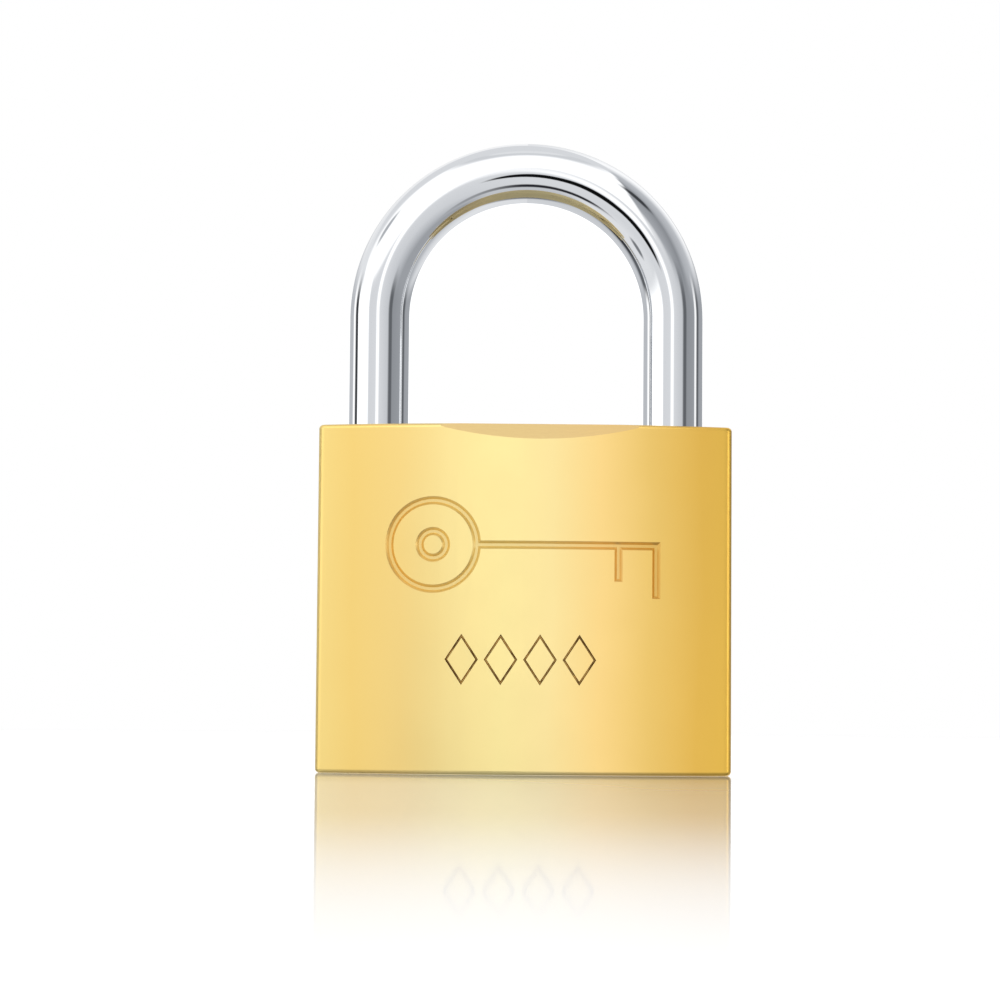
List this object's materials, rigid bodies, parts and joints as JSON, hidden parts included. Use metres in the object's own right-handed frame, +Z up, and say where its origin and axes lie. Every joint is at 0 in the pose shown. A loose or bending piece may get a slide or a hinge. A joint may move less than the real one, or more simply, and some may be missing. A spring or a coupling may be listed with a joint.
{
  "type": "padlock",
  "caption": "Small solid brass padlock with a bulged front and back, a round chromed shackle, a spring latch and a keyed core under its base.",
  "frame": {"origin": "middle of the base, on the surface it stands on", "axes": "+Z up through the shackle, +X towards the latch and the shackle's short leg, +Y towards the back"},
  "size_m": [0.025, 0.0116, 0.039],
  "materials": {
    "body_brass": "satin polished yellow brass",
    "core_brass": "machined brass",
    "pin_brass": "turned brass",
    "shackle_chrome": "polished chrome on hardened steel",
    "pin_steel": "turned steel",
    "spring_steel": "drawn spring wire"
  },
  "bodies": {
    "case": {"body": "body_brass", "shackle_spring": "spring_steel", "shackle_retaining_pin": "pin_steel", "latch_spring": "spring_steel", "latch_bore_plug": "body_brass", "plug_retaining_pin": "pin_brass", "driver_pin_1": "pin_steel", "driver_pin_2": "pin_steel", "driver_pin_3": "pin_steel", "driver_pin_4": "pin_steel", "pin_spring_1": "spring_steel", "pin_spring_2": "spring_steel", "pin_spring_3": "spring_steel", "pin_spring_4": "spring_steel", "chamber_plug_1": "body_brass", "chamber_plug_2": "body_brass", "chamber_plug_3": "body_brass", "chamber_plug_4": "body_brass"},
    "shackle": {"shackle": "shackle_chrome"},
    "latch": {"latch": "pin_steel"},
    "core": {"plug": "core_brass", "key_pin_1": "pin_brass", "key_pin_2": "pin_brass", "key_pin_3": "pin_brass", "key_pin_4": "pin_brass"}
  },
  "joints": [
    {"name": "shackle_lift", "type": "slide", "parent": "case", "child": "shackle", "axis": [0, 0, 1], "range_m": [0, 0.007], "deforming": ["shackle_spring"]},
    {"name": "plug_turn", "type": "hinge", "parent": "case", "child": "core", "pos_m": [0, 0, 0], "axis": [0, 0, 1], "range_deg": [-90, 0]},
    {"name": "latch_slide", "type": "slide", "parent": "case", "child": "latch", "axis": [1, 0, 0], "range_m": [0, 0.00145], "deforming": ["latch_spring"]}
  ],
  "couplings": [
    {"joint": "plug_turn", "follows": "latch_slide", "rad_per_m": -1083.3}
  ]
}
